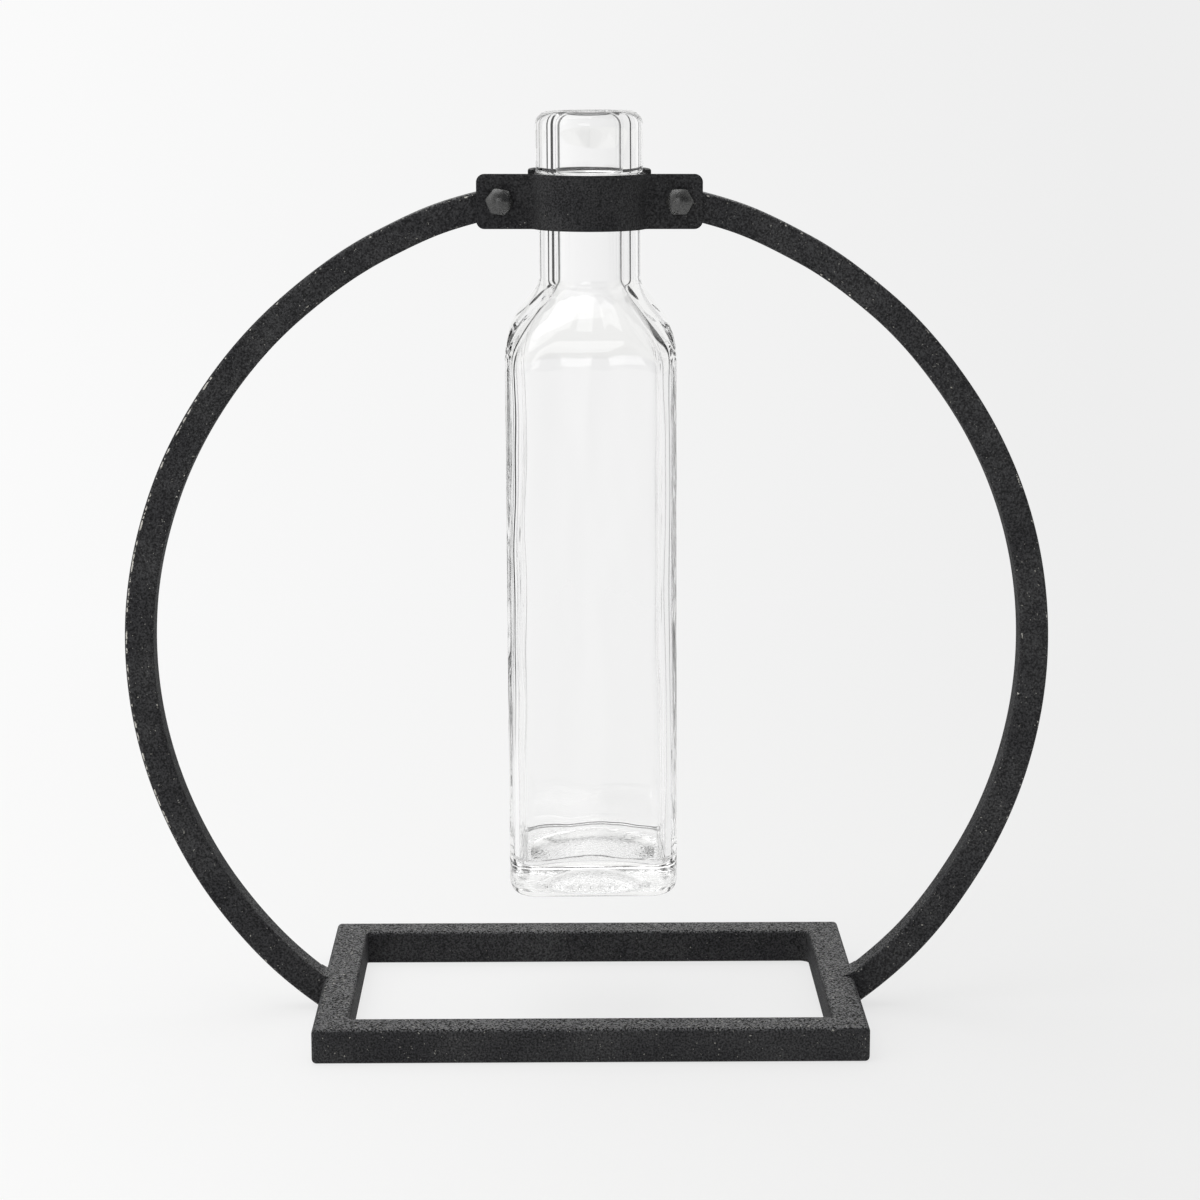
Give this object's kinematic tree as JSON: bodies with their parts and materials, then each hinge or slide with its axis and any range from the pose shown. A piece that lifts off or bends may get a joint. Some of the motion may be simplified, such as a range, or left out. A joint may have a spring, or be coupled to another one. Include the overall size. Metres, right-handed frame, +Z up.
{
  "type": "hoop bottle vase stand",
  "caption": "Tabletop vase: a bent square-bar hoop on a flat welded base, with a bolted collar at the top that holds a hanging square glass bottle by its neck.",
  "frame": {"origin": "on the table, under the middle of the base frame, below the axis of the bottle", "axes": "+X to the right along the hoop, +Y to the back, +Z up along the axis of the bottle"},
  "size_m": [0.305, 0.108, 0.2992],
  "materials": {
    "frame_coating": "matt black textured powder coating on steel bar",
    "collar_coating": "matt black textured powder coating on steel strip",
    "hardware": "blackened steel, satin",
    "bottle_glass": "clear moulded glass"
  },
  "bodies": {
    "frame": {"base_front_bar": "frame_coating", "base_rear_bar": "frame_coating", "base_left_bar": "frame_coating", "base_right_bar": "frame_coating", "corner_welds": "frame_coating", "hoop_left_arm": "frame_coating", "hoop_right_arm": "frame_coating", "foot_welds": "frame_coating", "collar_rear_half": "collar_coating", "collar_welds": "collar_coating", "collar_front_strap": "collar_coating", "clamp_bolts": "hardware", "clamp_nuts": "hardware"},
    "bottle": {"glass_bottle": "bottle_glass"}
  },
  "joints": [
    {"name": "bottle_turn", "type": "hinge", "parent": "frame", "child": "bottle", "pos_m": [0, 0, 0.2794], "axis": [0, 0, 1], "continuous": true}
  ]
}
